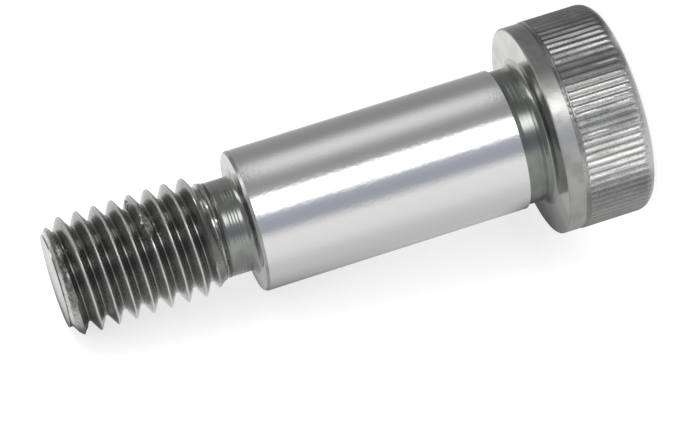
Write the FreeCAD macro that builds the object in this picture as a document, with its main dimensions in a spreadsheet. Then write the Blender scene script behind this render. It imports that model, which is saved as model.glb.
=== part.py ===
"""A shoulder bolt: knurled cap head with a hexagon socket, ground shoulder and threaded end.

The bolt is turned, knurled and threaded from one piece of steel, so it is one body. It stands on
its head: z = 0 is the top face of the head, the axis is Z, and the threaded end points up.
Everything is in millimetres.

The body is made in the order in which the real one is worked:
    the turned blank        one outline, revolved
    the hexagon socket      a pocket, its coned bottom and its countersunk mouth
    the straight knurl      one flute, repeated round the head
    the thread              one groove, swept along a helix out past the tip
"""
import FreeCAD, Part
import math
import os
import Sketcher

# Driving sizes: alias, value, what it measures
SIZES = [
    ("shoulder_diameter", 12.0, "ground shoulder that the moving part swings on"),
    ("shoulder_length", 25.25, "from the bearing face to the end of the shoulder"),
    ("shoulder_break_length", 0.22, "edge break at the shoulder's end, along the axis"),
    ("shoulder_break_drop", 0.14, "the same edge break, across the axis"),
    ("head_diameter", 17.83, "plain band of the head"),
    ("head_height", 7.8, "from the top of the head to its bearing face"),
    ("head_round", 1.15, "round of the head's top edge"),
    ("bearing_break", 0.12, "edge break at the rim of the bearing face"),
    ("plain_band", 1.8, "width of the plain band beside the bearing face"),
    ("knurl_rise", 0.057, "how far the teeth stand above the plain band"),
    ("knurl_teeth", 90, "teeth round the head"),
    ("knurl_depth", 0.3, "depth of one flute"),
    ("knurl_land", 0.06, "width of a tooth at its crest"),
    ("flute_overrun", 0.2, "how far the flute's section reaches out past the teeth"),
    ("socket_flats", 6.0, "hexagon socket across its flats"),
    ("socket_depth", 5.2, "depth of the full hexagon"),
    ("socket_cone_diameter", 5.7, "coned bottom of the socket"),
    ("socket_cone_length", 1.6, "depth of that cone"),
    ("socket_mouth_diameter", 7.5, "countersink at the mouth of the socket"),
    ("relief_width", 2.31, "undercut below the head, from the bearing face"),
    ("relief_depth", 0.24, "depth of that undercut below the shoulder"),
    ("relief_rise", 0.56, "length of its slope up to the shoulder"),
    ("relief_fillet", 0.6, "fillet between that undercut and the bearing face"),
    ("threaded_end", 16.4, "from the end of the shoulder to the tip, neck included"),
    ("neck_diameter", 8.03, "undercut between shoulder and thread"),
    ("neck_width", 3.7, "that undercut with its slope up to the thread"),
    ("neck_rise", 1.35, "length of that slope"),
    ("neck_fillet", 0.77, "fillet between neck and shoulder"),
    ("thread_diameter", 10.0, "nominal diameter of the thread"),
    ("thread_allowance", 0.1, "how much less the real crests measure across"),
    ("thread_pitch", 1.5, "distance from crest to crest"),
    ("thread_lead_in", 0.625, "first groove, back from the foot of the neck's slope"),
    ("groove_gap", 0.06, "left between neighbouring turns of the cut, outside the thread"),
    ("tip_chamfer", 1.2, "chamfer of the tip, along and across the axis"),
]

# A metric thread has 60 degree flanks. Its depth and root are shares of its pitch.
THREAD_DEPTH_SHARE = 0.61343
THREAD_ROOT_SHARE = 0.16667
FLANK_ANGLE = "30 deg"

# A quarter round is drawn as this many equal chords, fewer on the head, where the flutes run out.
FILLET_CHORDS = 3
HEAD_ROUND_CHORDS = 2

# Places along the axis, from the top of the head
KNURL_END = "Sizes.head_height - Sizes.plain_band"
BEARING_FACE = "Sizes.head_height"
RELIEF_END = f"{BEARING_FACE} + Sizes.relief_width"
SHOULDER_END = f"{BEARING_FACE} + Sizes.shoulder_length"
NECK_END = f"{SHOULDER_END} + Sizes.neck_width"
TIP = f"{SHOULDER_END} + Sizes.threaded_end"

# Radii
HEAD_RADIUS = "Sizes.head_diameter / 2"
KNURL_RADIUS = f"{HEAD_RADIUS} + Sizes.knurl_rise"
SHOULDER_RADIUS = "Sizes.shoulder_diameter / 2"
RELIEF_RADIUS = f"{SHOULDER_RADIUS} - Sizes.relief_depth"
NECK_RADIUS = "Sizes.neck_diameter / 2"
CREST_RADIUS = "(Sizes.thread_diameter - Sizes.thread_allowance) / 2"


def sheet_of_sizes(doc):
    """Writes the driving sizes into a sheet, one row each, with an alias for every value."""
    sheet = doc.addObject("Spreadsheet::Sheet", "Sizes")
    for row, (alias, value, meaning) in enumerate(SIZES, start=1):
        sheet.set(f"A{row}", alias)
        sheet.set(f"B{row}", str(value))
        sheet.setAlias(f"B{row}", alias)
        sheet.set(f"C{row}", meaning)
    doc.recompute()


def number(item, formula):
    """The present value of a formula of the sheet's cells."""
    return float(item.evalExpression(formula))


def sketch_on(body, role, name):
    """A sketch on one of the body's own origin planes."""
    sketch = body.newObject("Sketcher::SketchObject", name)
    plane = next(item for item in body.Origin.OriginFeatures if item.Role == role)
    sketch.AttachmentSupport = [(plane, "")]
    sketch.MapMode = "FlatFace"
    return sketch


def dimension(sketch, kind, references, formula):
    """One dimension of a sketch, tied to a formula of the sheet's cells."""
    value = number(sketch, formula)
    index = sketch.addConstraint(Sketcher.Constraint(kind, *references, value))
    name = f"size_{index}"
    sketch.renameConstraint(index, name)
    sketch.setExpression(f"Constraints.{name}", formula)


def polygon(sketch, places):
    """Straight edges from each place to the next, joined into a closed outline."""
    last = len(places) - 1
    for index, place in enumerate(places):
        following = places[0 if index == last else index + 1]
        sketch.addGeometry(Part.LineSegment(place, following), False)
    for index in range(len(places)):
        following = 0 if index == last else index + 1
        sketch.addConstraint(Sketcher.Constraint("Coincident", index, 2, following, 1))


def outline(sketch, corners):
    """A closed outline in a half plane through the axis, each corner tied to its place.

    A corner is two formulas, its distance from the axis and its height. A formula of "0" holds
    the corner on the axis or on the plane of the head's top face.
    """
    polygon(sketch, [
        FreeCAD.Vector(number(sketch, across), number(sketch, along), 0)
        for across, along in corners
    ])
    upright_axis, level_axis = -2, -1
    for index, (across, along) in enumerate(corners):
        if across == "0":
            sketch.addConstraint(Sketcher.Constraint("PointOnObject", index, 1, upright_axis))
        else:
            dimension(sketch, "DistanceX", (-1, 1, index, 1), across)
        if along == "0":
            sketch.addConstraint(Sketcher.Constraint("PointOnObject", index, 1, level_axis))
        else:
            dimension(sketch, "DistanceY", (-1, 1, index, 1), along)


def quarter_round(across, along, radius, first, last, chords):
    """Corners of a quarter circle round a centre, drawn in equal chords.

    The angles are in degrees. 0 points away from the axis and 90 towards the threaded end.
    """
    angles = [first + (last - first) * step / chords for step in range(chords + 1)]
    return [
        (f"{across} + {radius} * cos({angle} deg)", f"{along} + {radius} * sin({angle} deg)")
        for angle in angles
    ]


def turned_outline():
    """The bolt's outline, from the axis at the head's top face round to the axis at the tip."""
    head_round = quarter_round(
        f"{KNURL_RADIUS} - Sizes.head_round", "Sizes.head_round", "Sizes.head_round",
        -90, 0, HEAD_ROUND_CHORDS)
    relief_fillet = quarter_round(
        f"{RELIEF_RADIUS} + Sizes.relief_fillet", f"{BEARING_FACE} + Sizes.relief_fillet",
        "Sizes.relief_fillet", -90, -180, FILLET_CHORDS)
    neck_fillet = quarter_round(
        f"{NECK_RADIUS} + Sizes.neck_fillet", f"{SHOULDER_END} + Sizes.neck_fillet",
        "Sizes.neck_fillet", -90, -180, FILLET_CHORDS)
    return [
        ("0", "0"),
        (f"{KNURL_RADIUS} - Sizes.head_round", "0"),
        *head_round[1:],
        (KNURL_RADIUS, KNURL_END),
        (HEAD_RADIUS, f"{KNURL_END} + Sizes.knurl_rise"),
        (HEAD_RADIUS, f"{BEARING_FACE} - Sizes.bearing_break"),
        (f"{HEAD_RADIUS} - Sizes.bearing_break", BEARING_FACE),
        *relief_fillet,
        (RELIEF_RADIUS, f"{RELIEF_END} - Sizes.relief_rise"),
        (SHOULDER_RADIUS, RELIEF_END),
        (SHOULDER_RADIUS, f"{SHOULDER_END} - Sizes.shoulder_break_length"),
        (f"{SHOULDER_RADIUS} - Sizes.shoulder_break_drop", SHOULDER_END),
        *neck_fillet,
        (NECK_RADIUS, f"{NECK_END} - Sizes.neck_rise"),
        (CREST_RADIUS, NECK_END),
        (CREST_RADIUS, f"{TIP} - Sizes.tip_chamfer"),
        (f"{CREST_RADIUS} - Sizes.tip_chamfer", TIP),
        ("0", TIP),
    ]


def turned_blank(body):
    """The whole bolt before socket, knurl and thread: one outline, revolved."""
    sketch = sketch_on(body, "XZ_Plane", "TurnedOutline")
    outline(sketch, turned_outline())
    blank = body.newObject("PartDesign::Revolution", "TurnedBlank")
    blank.Profile = sketch
    blank.ReferenceAxis = (sketch, ["V_Axis"])
    blank.Angle = 360.0
    body.Document.recompute()
    return blank


def checked_cut(feature, before):
    """Recomputes a cut, and stops the build if it took nothing away."""
    feature.Document.recompute()
    if feature.Shape.Volume > before.Shape.Volume - 1e-3:
        raise ValueError(f"{feature.Name} cuts nothing")
    return feature


def turned_cut(body, name, corners, before):
    """A closed outline revolved about the axis and taken out of the body."""
    sketch = sketch_on(body, "XZ_Plane", f"{name}Outline")
    outline(sketch, corners)
    cut = body.newObject("PartDesign::Groove", name)
    cut.Profile = sketch
    cut.ReferenceAxis = (sketch, ["V_Axis"])
    cut.Angle = 360.0
    return checked_cut(cut, before)


def hexagon(sketch, flats):
    """A regular hexagon round the sketch's origin, with one flat square to the level axis."""
    sides = 6
    corner_radius = number(sketch, flats) / 2 / math.cos(math.pi / sides)
    angles = [(index - 0.5) * 2 * math.pi / sides for index in range(sides)]
    polygon(sketch, [
        FreeCAD.Vector(math.cos(angle), math.sin(angle), 0) * corner_radius for angle in angles
    ])
    origin, upright = FreeCAD.Vector(0, 0, 0), FreeCAD.Vector(0, 0, 1)
    circle = sketch.addGeometry(Part.Circle(origin, upright, corner_radius), True)
    sketch.addConstraint(Sketcher.Constraint("Coincident", circle, 3, -1, 1))
    for side in range(sides):
        sketch.addConstraint(Sketcher.Constraint("PointOnObject", side, 1, circle))
        if side:
            sketch.addConstraint(Sketcher.Constraint("Equal", 0, side))
    sketch.addConstraint(Sketcher.Constraint("Vertical", 0))
    dimension(sketch, "DistanceX", (-1, 1, 0, 1), f"{flats} / 2")


def hexagon_socket(body, before):
    """The socket in the head's top face: the full hexagon, its coned bottom and its mouth."""
    sketch = sketch_on(body, "XY_Plane", "SocketHexagon")
    hexagon(sketch, "Sizes.socket_flats")
    socket = body.newObject("PartDesign::Pocket", "Socket")
    socket.Profile = sketch
    socket.Reversed = True
    socket.setExpression("Length", "Sizes.socket_depth")
    checked_cut(socket, before)

    bottom = turned_cut(body, "SocketBottom", [
        ("0", "Sizes.socket_depth"),
        ("Sizes.socket_cone_diameter / 2", "Sizes.socket_depth"),
        ("0", "Sizes.socket_depth + Sizes.socket_cone_length"),
    ], socket)
    mouth_radius = "Sizes.socket_mouth_diameter / 2"
    mouth = [("0", "0"), (mouth_radius, "0"), ("0", mouth_radius)]
    return turned_cut(body, "SocketMouth", mouth, bottom)


def straight_knurl(body, before):
    """One flute of V section, cut along the head from its top face, and its copies round it."""
    sketch = sketch_on(body, "XY_Plane", "FluteSection")
    root = f"{KNURL_RADIUS} - Sizes.knurl_depth"
    mouth = f"{KNURL_RADIUS} + Sizes.flute_overrun"
    flute_width = f"(2 * pi * ({KNURL_RADIUS}) / Sizes.knurl_teeth - Sizes.knurl_land)"
    mouth_width = f"{flute_width} * (Sizes.knurl_depth + Sizes.flute_overrun) / Sizes.knurl_depth"
    half_width = number(sketch, mouth_width) / 2
    polygon(sketch, [
        FreeCAD.Vector(number(sketch, root), 0, 0),
        FreeCAD.Vector(number(sketch, mouth), -half_width, 0),
        FreeCAD.Vector(number(sketch, mouth), half_width, 0),
    ])
    sketch.addConstraint(Sketcher.Constraint("PointOnObject", 0, 1, -1))
    sketch.addConstraint(Sketcher.Constraint("Symmetric", 1, 1, 1, 2, -1))
    dimension(sketch, "DistanceX", (-1, 1, 0, 1), root)
    dimension(sketch, "DistanceX", (-1, 1, 1, 1), mouth)
    dimension(sketch, "DistanceY", (1, 1, 1, 2), mouth_width)

    flute = body.newObject("PartDesign::Pocket", "Flute")
    flute.Profile = sketch
    flute.Reversed = True
    flute.setExpression("Length", KNURL_END)
    checked_cut(flute, before)

    knurl = body.newObject("PartDesign::PolarPattern", "Knurl")
    knurl.Originals = [flute]
    knurl.Axis = (sketch, ["N_Axis"])
    knurl.Angle = 360.0
    knurl.setExpression("Occurrences", "Sizes.knurl_teeth")
    body.Tip = knurl
    return checked_cut(knurl, flute)


def thread(body, before):
    """The thread: the groove between two turns, swept up a right-handed helix past the tip.

    The groove is a 60 degree V with a narrow flat root. It starts in the neck, which is a little
    slimmer than the thread's root, so the last turns fade out down the neck's slope.
    """
    sketch = sketch_on(body, "XZ_Plane", "ThreadGroove")
    middle = f"({NECK_END} - Sizes.neck_rise - Sizes.thread_lead_in)"
    root = f"{CREST_RADIUS} - Sizes.thread_pitch * {THREAD_DEPTH_SHARE}"
    half_root = f"Sizes.thread_pitch * {THREAD_ROOT_SHARE} / 2"
    half_mouth = "(Sizes.thread_pitch - Sizes.groove_gap) / 2"
    mouth = f"{root} + ({half_mouth} - {half_root}) / tan({FLANK_ANGLE})"
    outline(sketch, [
        (root, f"{middle} - {half_root}"),
        (mouth, f"{middle} - {half_mouth}"),
        (mouth, f"{middle} + {half_mouth}"),
        (root, f"{middle} + {half_root}"),
    ])
    groove = body.newObject("PartDesign::SubtractiveHelix", "Thread")
    groove.Profile = sketch
    groove.ReferenceAxis = (sketch, ["V_Axis"])
    groove.Mode = "pitch-height-angle"
    groove.Refine = False
    groove.setExpression("Pitch", "Sizes.thread_pitch")
    groove.setExpression("Height", f"{TIP} + Sizes.thread_pitch - {middle}")
    return checked_cut(groove, before)


def check_document(doc, body):
    """Stops the build if a feature has failed or the body isn't one valid solid."""
    for item in doc.Objects:
        if {"Invalid", "Error"} & set(item.State):
            raise ValueError(f"{item.Name} has failed: {item.State}")
    if body.Shape.isNull() or not body.Shape.isValid() or len(body.Shape.Solids) != 1:
        raise ValueError(f"{body.Label} is not one valid solid")


def main():
    doc = FreeCAD.newDocument("ShoulderBolt")
    sheet_of_sizes(doc)
    bolt = doc.addObject("PartDesign::Body", "ShoulderBolt")
    bolt.Label = "shoulder_bolt"
    blank = turned_blank(bolt)
    socket = hexagon_socket(bolt, blank)
    knurl = straight_knurl(bolt, socket)
    bolt.Tip = thread(bolt, knurl)
    doc.recompute()
    check_document(doc, bolt)

    os.makedirs("parts", exist_ok=True)
    bolt.Shape.exportStep(f"parts/{bolt.Label}.step")
    tip = number(bolt, TIP)
    print(f"{bolt.Label}: {tip:.2f} mm long, {bolt.Shape.Volume:.0f} cubic mm,"
          f" {len(bolt.Shape.Faces)} faces")


main()
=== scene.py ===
# %% [markdown]
# # A shoulder bolt, made as a lesson
# The bolt is one piece of steel: a knurled cap head with a hexagon socket, a ground shoulder for
# something to swing on, and a short metric thread. It stands on its head, with its axis along Z.
# The solid from the CAD model gives its place and size. This file gives it a finer skin, one
# closed mesh, and the finishes that the machines and the years have left on it.

# %% Load the solid and keep its box
import math

import bpy
import numpy as np
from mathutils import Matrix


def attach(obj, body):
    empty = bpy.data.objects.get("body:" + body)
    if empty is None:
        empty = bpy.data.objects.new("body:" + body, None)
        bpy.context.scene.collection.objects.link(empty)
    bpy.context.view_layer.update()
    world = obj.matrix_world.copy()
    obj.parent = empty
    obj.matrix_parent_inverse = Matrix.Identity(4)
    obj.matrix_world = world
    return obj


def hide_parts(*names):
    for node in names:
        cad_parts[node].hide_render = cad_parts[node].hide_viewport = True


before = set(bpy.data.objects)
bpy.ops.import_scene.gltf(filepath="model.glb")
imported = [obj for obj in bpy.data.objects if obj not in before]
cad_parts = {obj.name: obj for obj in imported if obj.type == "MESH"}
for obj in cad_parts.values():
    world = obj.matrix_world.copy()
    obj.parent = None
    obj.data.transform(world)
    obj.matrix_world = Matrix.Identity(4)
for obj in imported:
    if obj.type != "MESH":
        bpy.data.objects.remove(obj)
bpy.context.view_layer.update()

# %% [markdown]
# ## The camera
# The photograph was taken from close by with a long lens, a little above the plane of the head,
# with the camera turned on its side, so that the standing bolt seems to lie. A camera in Blender
# looks down its own minus Z. Tilting it up by 90 degrees makes it level, and the roll about its
# own line of sight comes first.

# %% Place the camera
from mathutils import Matrix, Vector

PICTURE_WIDTH, PICTURE_HEIGHT = 680, 421
SENSOR_WIDTH = 36.0
FOCAL_LENGTH = 175.8
CAMERA_PLACE = (-0.0015, -0.26995, 0.06989)
CAMERA_DOWN = math.radians(9.42)
CAMERA_ROLL = math.radians(-107.52)

camera = bpy.data.objects.new("photo_camera", bpy.data.cameras.new("photo_camera"))
bpy.context.collection.objects.link(camera)
camera.data.lens = FOCAL_LENGTH
camera.data.sensor_width = SENSOR_WIDTH
camera.data.clip_start = 0.001
camera.data.clip_end = 20.0
camera.matrix_world = (Matrix.Translation(CAMERA_PLACE)
                       @ Matrix.Rotation(math.pi / 2 - CAMERA_DOWN, 4, "X")
                       @ Matrix.Rotation(CAMERA_ROLL, 4, "Z"))
bpy.context.scene.camera = camera
bpy.context.scene.view_settings.view_transform = "Standard"
half_view = math.degrees(math.atan(SENSOR_WIDTH / FOCAL_LENGTH / 2))
print(f"the camera sees {half_view:.2f} degrees to each side,"
      f" {half_view * PICTURE_HEIGHT / PICTURE_WIDTH:.2f} up and down")

# %% [markdown]
# ## The sizes
# All lengths are written in millimetres, as on a drawing, and are made metres at the end. They
# are the sizes of the CAD model, with the real rounds where that one has short chords.

# %% Sizes of the bolt, in millimetres
MM = 0.001
HEAD_RADIUS = 8.915
KNURL_RADIUS = 8.972
HEAD_ROUND = 1.15
KNURL_END = 6.0
BEARING_FACE = 7.8
RELIEF_RADIUS = 5.76
RELIEF_END = 10.11
SHOULDER_RADIUS = 6.0
SHOULDER_END = 33.05
NECK_RADIUS = 4.015
CREST_RADIUS = 4.95
TIP = 49.45
TIP_EDGE = 49.24
TIP_EDGE_RADIUS = 3.92
PITCH = 1.5
print(f"{TIP:.2f} mm long, head {2 * HEAD_RADIUS:.2f}, shoulder {2 * SHOULDER_RADIUS:.2f} mm across")

# %% [markdown]
# ## A skin of rings
# Everything turned on a lathe is a profile carried round an axis. So the skin is a list of rings:
# each has a distance from the axis and a height, and the same angles. Rings crowd together at
# every corner, because smooth shading blends the light between neighbouring rings, and a long
# flat band must not share that blend with its edge. Where the knurl needs more columns than the
# rest, one ring is joined to a ring with three times as many points.

# %% The angles, and the stretches that a profile is made of
COLUMNS = 240
TEETH = 90
TOOTH_COLUMNS = 8
SUPPORT = 0.02

angles = np.arange(COLUMNS) * 2 * np.pi / COLUMNS


def straight(start, end, rows):
    """Rings on a straight line, from just after its start up to its end.

    The place is start + share * (end - start). The shares are evenly spaced, with one more ring
    close to each end.
    """
    start, end = np.array(start, float), np.array(end, float)
    margin = min(SUPPORT / np.linalg.norm(end - start), 0.25)
    share = np.r_[np.linspace(margin, 1 - margin, rows + 2), 1.0]
    return start + share[:, None] * (end - start)


def rounded(centre, radius, first, last, rows):
    """Rings on a part of a circle, from just after its first angle up to its last, in degrees.

    The place is centre + radius * (cosine, sine), and 90 degrees points along +Z.
    """
    turn = np.radians(np.linspace(first, last, rows + 1)[1:])
    return np.array(centre) + radius * np.stack([np.cos(turn), np.sin(turn)], 1)


def turned(profile, around=angles):
    """The surface of a profile carried round the axis: radius and height at every angle."""
    return np.broadcast_arrays(profile[:, :1], profile[:, 1:], around)


print(f"{COLUMNS} columns round the bolt, {TEETH * TOOTH_COLUMNS} round the knurl")

# %% [markdown]
# ## The hexagon socket
# A real socket is punched: a cone from the drill is left at its bottom, the six walls follow, and
# the mouth is countersunk first, so the corners of the hexagon cut up into the cone of the mouth.
# In a skin of rings a hexagon is only a radius that changes with the angle.

# %% The socket, from the middle of its floor to its mouth
SOCKET_HALF_FLATS = 3.0
SOCKET_DEPTH = 5.2
SOCKET_CONE_RADIUS = 2.85
SOCKET_CONE_DEPTH = 1.6
MOUTH_RADIUS = 3.75

sixth = math.pi / 3
wall = SOCKET_HALF_FLATS / np.cos((angles + sixth / 2) % sixth - sixth / 2)
socket_floor = SOCKET_DEPTH + SOCKET_CONE_DEPTH
cone = straight((0.2, socket_floor - 0.11), (SOCKET_CONE_RADIUS, SOCKET_DEPTH), 3)


def outline(radius, height):
    """Radius and height at every column, each given as one number or as a number for each."""
    return np.stack([radius + 0 * angles, height + 0 * angles])


def blend(first, last, *shares):
    """Rings between two outlines: first + share * (last - first)."""
    return [first + share * (last - first) for share in shares]


wall_foot, wall_top = outline(wall, SOCKET_DEPTH), outline(wall, MOUTH_RADIUS - wall)
socket = np.stack([
    *np.stack(turned(cone)[:2], 1),
    *blend(outline(SOCKET_CONE_RADIUS, SOCKET_DEPTH), wall_foot, 0.5, 0.95, 1),
    *blend(wall_foot, wall_top, 0.01, 0.2, 0.4, 0.6, 0.8, 0.985, 1),
    *blend(wall_top, outline(MOUTH_RADIUS, 0), 0.08, 0.35, 0.65, 0.93, 1),
], 1)
print(f"socket: {socket.shape[1]} rings, its corners {wall.max():.2f} mm from the axis")

# %% [markdown]
# ## The head's top and its round
# The top is faced on the lathe, and its edge is a quarter round. The first third of the round is
# smooth: the flutes of the knurl run out where the round falls away under them.

# %% Top face and the smooth part of the round
ROUND_CENTRE = (KNURL_RADIUS - HEAD_ROUND, HEAD_ROUND)
SMOOTH_ROUND = -58.0

top_profile = np.concatenate([
    straight((MOUTH_RADIUS, 0), (ROUND_CENTRE[0], 0), 5),
    rounded(ROUND_CENTRE, HEAD_ROUND, -90, SMOOTH_ROUND, 4),
])
print(f"top face and round: {len(top_profile)} rings")

# %% [markdown]
# ## The knurl
# Ninety V flutes run along the head. A tool cuts them, so no two are quite alike: each has its
# own depth and start, wanders a little, and ends in a small ragged heel beside the plain band. The
# flute is cut straight, so the surface is the lower of two shapes, the turned head and the V.
# Each tooth has eight columns, placed where the V turns and not evenly.

# %% Columns of the teeth, and chance values for each flute
rng = np.random.default_rng(12)
FLUTE_DEPTH = 0.13
CREST_HALF_SHARE = 0.11
ROOT_HALF_SHARE = 0.09
flank_middle = (0.5 - CREST_HALF_SHARE + ROOT_HALF_SHARE) / 2
tooth_shares = np.array([0.0, ROOT_HALF_SHARE, flank_middle, 0.5 - CREST_HALF_SHARE, 0.5,
                         0.5 + CREST_HALF_SHARE, 1 - flank_middle, 1 - ROOT_HALF_SHARE])

tooth_number = np.repeat(np.arange(TEETH), TOOTH_COLUMNS)
tooth_share = np.tile(tooth_shares, TEETH)
knurl_angles = (tooth_number + tooth_share) * (2 * np.pi / TEETH)
# The flute nearest to a column: a crest stands half way between two flutes.
flute = (tooth_number + (tooth_share > 0.5)) % TEETH
flute_offset = np.abs(tooth_share - np.round(tooth_share))
flute_deeper = rng.normal(0, 0.011, TEETH)
flute_heel = KNURL_END + rng.normal(0.02, 0.055, TEETH)
flute_sway = rng.normal(0, 0.022, (TEETH, 5))
print(f"flutes: {FLUTE_DEPTH} mm deep, give or take {flute_deeper.std():.3f}")

# %% The knurled band as the lower of the turned head and the flutes
BAND_START = KNURL_END + 0.34
HEEL_SLOPE = 1.4
NICKS = ((3.35, -45, 0.35, 1.6, 0.12), (3.95, -6, 0.22, 1.4, 0.1), (4.3, 12, 0.25, 1.0, 0.06),
         (5.2, -72, 0.3, 1.6, 0.09), (2.2, 33, 0.3, 1.2, 0.05),
         (5.0, 58, 0.5, 1.5, 0.06), (3.3, 118, 0.3, 2.0, 0.12), (2.4, 171, 0.4, 1.6, 0.08),
         (4.6, 214, 0.3, 1.8, 0.1), (3.1, 239, 0.5, 1.2, 0.07))


def facing(down):
    """The angle about the axis of a place seen this many degrees below the middle of the side
    that faces the camera, in the photograph."""
    return np.radians(-90.0 - down)


def hollow(radius, height, around, spots):
    """Takes soft round dents out of a surface: depth * exp(-distance squared).

    A spot is its height, its degrees below the middle, its half length along the axis in
    millimetres, its half width in degrees and its depth. The angle between a point and the spot
    is wrapped into a half turn to either side.
    """
    for place, down, long, wide, depth in spots:
        apart = (np.degrees(around - facing(down)) + 180) % 360 - 180
        radius = radius - depth * np.exp(-((height - place) / long) ** 2 - (apart / wide) ** 2)
    return radius


knurl_profile = np.concatenate([
    rounded(ROUND_CENTRE, HEAD_ROUND, SMOOTH_ROUND, 0, 9),
    straight((KNURL_RADIUS, HEAD_ROUND), (KNURL_RADIUS, KNURL_END - 0.2), 9),
    straight((KNURL_RADIUS, KNURL_END - 0.2), (KNURL_RADIUS, KNURL_END), 2),
    straight((KNURL_RADIUS, KNURL_END), (HEAD_RADIUS, KNURL_END + 0.06), 1),
    straight((HEAD_RADIUS, KNURL_END + 0.06), (HEAD_RADIUS, BAND_START), 4),
])
knurl_radius, knurl_height, knurl_around = turned(knurl_profile, knurl_angles)
depth = FLUTE_DEPTH + flute_deeper[flute]
flank_share = (flute_offset - ROOT_HALF_SHARE) / (0.5 - CREST_HALF_SHARE - ROOT_HALF_SHARE)
rise = depth * np.clip(flank_share, 0, 1)
sway = np.stack([np.interp(knurl_profile[:, 1], np.linspace(0, KNURL_END, 5), row)
                 for row in flute_sway])
sway = sway[flute].T * (rise < depth)
heel = HEEL_SLOPE * np.maximum(knurl_height - flute_heel[flute] + 0.16, 0)
cut = KNURL_RADIUS - depth + rise + sway * 0.6 + heel
flutes = np.minimum(knurl_radius, cut)
prick_height = KNURL_END + 0.16 + rng.normal(0, 0.04, TEETH)
prick_depth = np.clip(rng.normal(0.02, 0.025, TEETH), 0, 0.07)
pricks = prick_depth[flute] * np.exp(-((knurl_height - prick_height[flute]) / 0.06) ** 2
                                     - (flute_offset / 0.2) ** 2)
knurl_radius = hollow(flutes - pricks, knurl_height, knurl_around, NICKS)
print(f"knurl: {len(knurl_radius)} rings of {knurl_radius.shape[1]} points")

# %% [markdown]
# ## The plain band, the bearing face and the undercut
# Beside the knurl a band is left as turned. The bearing face under the head is ground flat, and
# its rim is only broken, which the eye sees as one fine bright line. The undercut lets a ring or
# lever sit flat on that face. Its tool has left fine rings in its floor, and they are real ridges
# here, because the highlight in the photograph breaks up on them.

# %% Plain band to the end of the undercut
BEARING_BREAK = 0.13
RELIEF_FILLET = 0.6
RELIEF_RISE = 0.46
RELIEF_LIFT = 0.055
# The tool's ridges: how far apart they are, and how high.
RELIEF_RIDGES = (0.38, 0.006)
rim_radius = HEAD_RADIUS - BEARING_BREAK
fillet_radius = RELIEF_RADIUS + RELIEF_FILLET
fillet_end = BEARING_FACE + RELIEF_FILLET
rise_start = RELIEF_END - RELIEF_RISE


def scallops(place, start, end, spacing, height):
    """Ridges left by a round-nosed tool: height * (2 * share of the spacing - 1) squared, so that
    hollow arcs meet in sharp edges. They fade in and out within half a spacing."""
    inside = np.clip(np.minimum(place - start, end - place) * 2 / spacing, 0, 1)
    return height * inside * (2 * ((place - start) / spacing % 1) - 1) ** 2


band_profile = straight((HEAD_RADIUS, BAND_START), (HEAD_RADIUS, BEARING_FACE - BEARING_BREAK), 4)
rim_profile = rounded((rim_radius, BEARING_FACE - BEARING_BREAK), BEARING_BREAK, 0, 90, 3)
face_profile = straight((rim_radius, BEARING_FACE), (fillet_radius, BEARING_FACE), 5)
relief_profile = np.concatenate([
    rounded((fillet_radius, fillet_end), RELIEF_FILLET, -90, -180, 6),
    straight((RELIEF_RADIUS, fillet_end), (RELIEF_RADIUS, rise_start), 20),
    straight((RELIEF_RADIUS, rise_start), (RELIEF_RADIUS + RELIEF_LIFT, RELIEF_END - 0.03), 3),
    np.array([[SHOULDER_RADIUS - 0.02, RELIEF_END - 0.015]]),
])
relief_profile[:, 0] += scallops(relief_profile[:, 1], BEARING_FACE + 0.5, rise_start, *RELIEF_RIDGES)
print(f"undercut: {len(relief_profile)} rings, {RELIEF_RADIUS:.2f} mm from the axis")

# %% [markdown]
# ## The shoulder
# The shoulder is ground to a close size, so its shape is the plainest of all: a true cylinder with
# a sharp edge at the undercut and a small chamfer at its end. The chamfer shows in the photograph
# as a second thin ring.

# %% Shoulder, its end face and the neck
SHOULDER_BREAK_LENGTH = 0.22
SHOULDER_BREAK_DROP = 0.14
NECK_FILLET = 0.52
EDGE_ROUND = 0.15
NECK_START = SHOULDER_END + NECK_FILLET
neck_fillet_radius = NECK_RADIUS + NECK_FILLET
edge_height = SHOULDER_END - SHOULDER_BREAK_LENGTH
face_radius = SHOULDER_RADIUS - SHOULDER_BREAK_DROP
break_slope = math.degrees(math.atan(SHOULDER_BREAK_DROP / SHOULDER_BREAK_LENGTH))
round_start = edge_height - EDGE_ROUND * math.tan(math.radians(break_slope / 2))

shoulder_profile = np.concatenate([
    np.array([[SHOULDER_RADIUS, RELIEF_END]]),
    straight((SHOULDER_RADIUS, RELIEF_END), (SHOULDER_RADIUS, round_start), 6),
])
break_profile = np.concatenate([
    rounded((SHOULDER_RADIUS - EDGE_ROUND, round_start), EDGE_ROUND, 0, break_slope, 3),
    straight((SHOULDER_RADIUS - 0.02, edge_height + 0.03),
             (face_radius + 0.01, SHOULDER_END - 0.012), 1),
])
end_profile = straight((face_radius, SHOULDER_END), (neck_fillet_radius, SHOULDER_END), 3)
neck_profile = rounded((neck_fillet_radius, NECK_START), NECK_FILLET, -90, -180, 9)
print(f"shoulder: {SHOULDER_END - BEARING_FACE:.2f} mm from the bearing face")

# %% [markdown]
# ## The thread
# Flat rings would cross a thread at a slant and saw at its crest. So from the neck on, the rows
# of the mesh climb with the thread. Picture a ribbon as wide as the pitch, wound up the bolt, each
# turn joined to the one below. In the first turn the ribbon widens from nothing, and in the last
# it narrows to nothing again, so both ends of the winding are flat circles and the skin stays
# closed. The crest is where two turns of the ribbon meet.

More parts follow.
